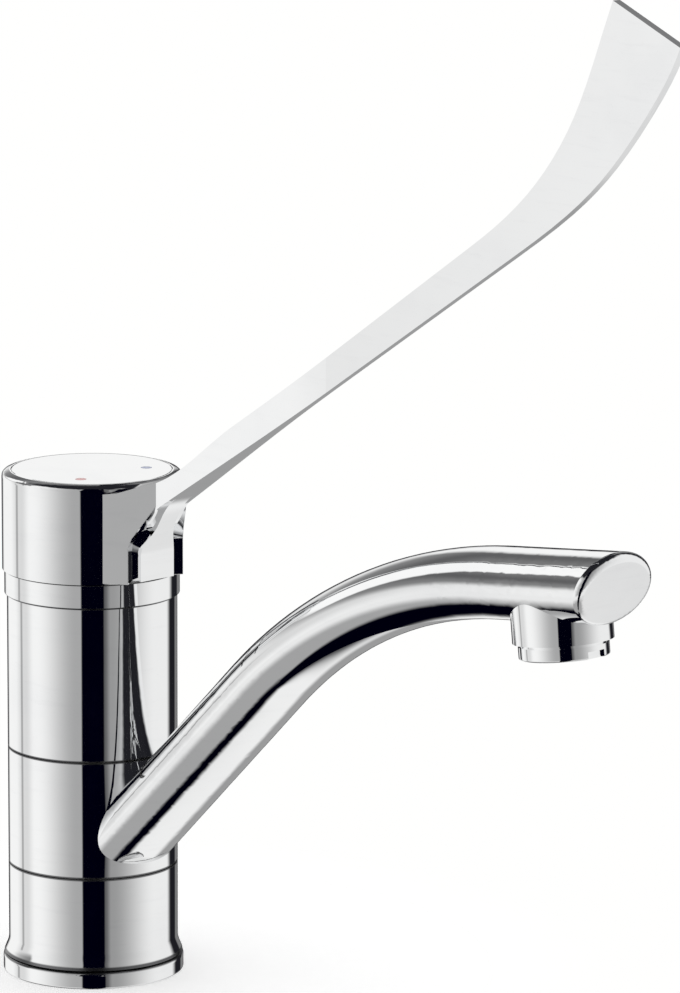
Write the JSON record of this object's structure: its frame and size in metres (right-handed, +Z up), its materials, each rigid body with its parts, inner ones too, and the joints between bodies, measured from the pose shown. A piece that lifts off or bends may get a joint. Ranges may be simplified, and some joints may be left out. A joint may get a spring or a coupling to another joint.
{
  "type": "basin mixer tap",
  "caption": "Single-lever basin mixer with a long flat lever rising from a round cap, a swinging oval spout and an aerator.",
  "frame": {"origin": "the tap's vertical axis where its bottom face meets the deck", "axes": "+Z up from the deck; the spout and the lever point along -Y when the tap is shut; +X is to the right of someone facing along +Y, who stands at the spout's end"},
  "size_m": [0.0512, 0.2496, 0.3523],
  "materials": {
    "chrome": "polished",
    "steel": "satin",
    "brass": "machined",
    "rubber": "matt",
    "bush_plastic": "matt",
    "valve_plastic": "satin",
    "red_mark": "gloss",
    "blue_mark": "gloss"
  },
  "bodies": {
    "tap_body": {"body": "chrome", "base_ring": "chrome", "base_gasket": "rubber", "foot": "chrome", "lower_glide_bush": "bush_plastic", "upper_glide_bush": "bush_plastic", "spout_seals": "rubber", "swivel_stop_pin": "steel", "turn_stop_pin": "steel", "cartridge_shell": "valve_plastic", "shell_seals": "rubber", "cartridge_nut": "brass", "stem_seal": "rubber", "retaining_ring": "steel", "fixing_stud": "brass", "rubber_horseshoe": "rubber", "steel_horseshoe": "steel", "fixing_nut": "brass"},
    "swing_spout": {"spout": "chrome", "aerator_washer": "rubber", "aerator_insert": "valve_plastic", "aerator_shell": "chrome"},
    "turn": {"turning_ring": "chrome", "dome_cover": "chrome"},
    "lever": {"handle": "chrome", "lid": "chrome", "hot_mark": "red_mark", "cold_mark": "blue_mark", "lift_pin": "steel", "yoke": "valve_plastic", "yoke_screws": "steel"},
    "stem": {"spool": "steel", "spool_seals": "rubber", "stem_ball": "steel"}
  },
  "joints": [
    {"name": "spout_swivel", "type": "hinge", "parent": "tap_body", "child": "swing_spout", "pos_m": [0, 0, 0.0483], "axis": [0, 0, 1], "range_deg": [-60, 60]},
    {"name": "lever_turn", "type": "hinge", "parent": "tap_body", "child": "turn", "pos_m": [0, 0, 0.1126], "axis": [0, 0, 1], "range_deg": [-45, 45]},
    {"name": "lever_lift", "type": "hinge", "parent": "turn", "child": "lever", "pos_m": [0, 0.0188, 0.1188], "axis": [-1, 0, 0], "range_deg": [0, 15]},
    {"name": "stem_slide", "type": "slide", "parent": "turn", "child": "stem", "axis": [0, 0, 1], "range_m": [0, 0.0058]}
  ],
  "couplings": [
    {"joint": "stem_slide", "follows": "lever_lift", "m_per_rad": 0.0217}
  ]
}
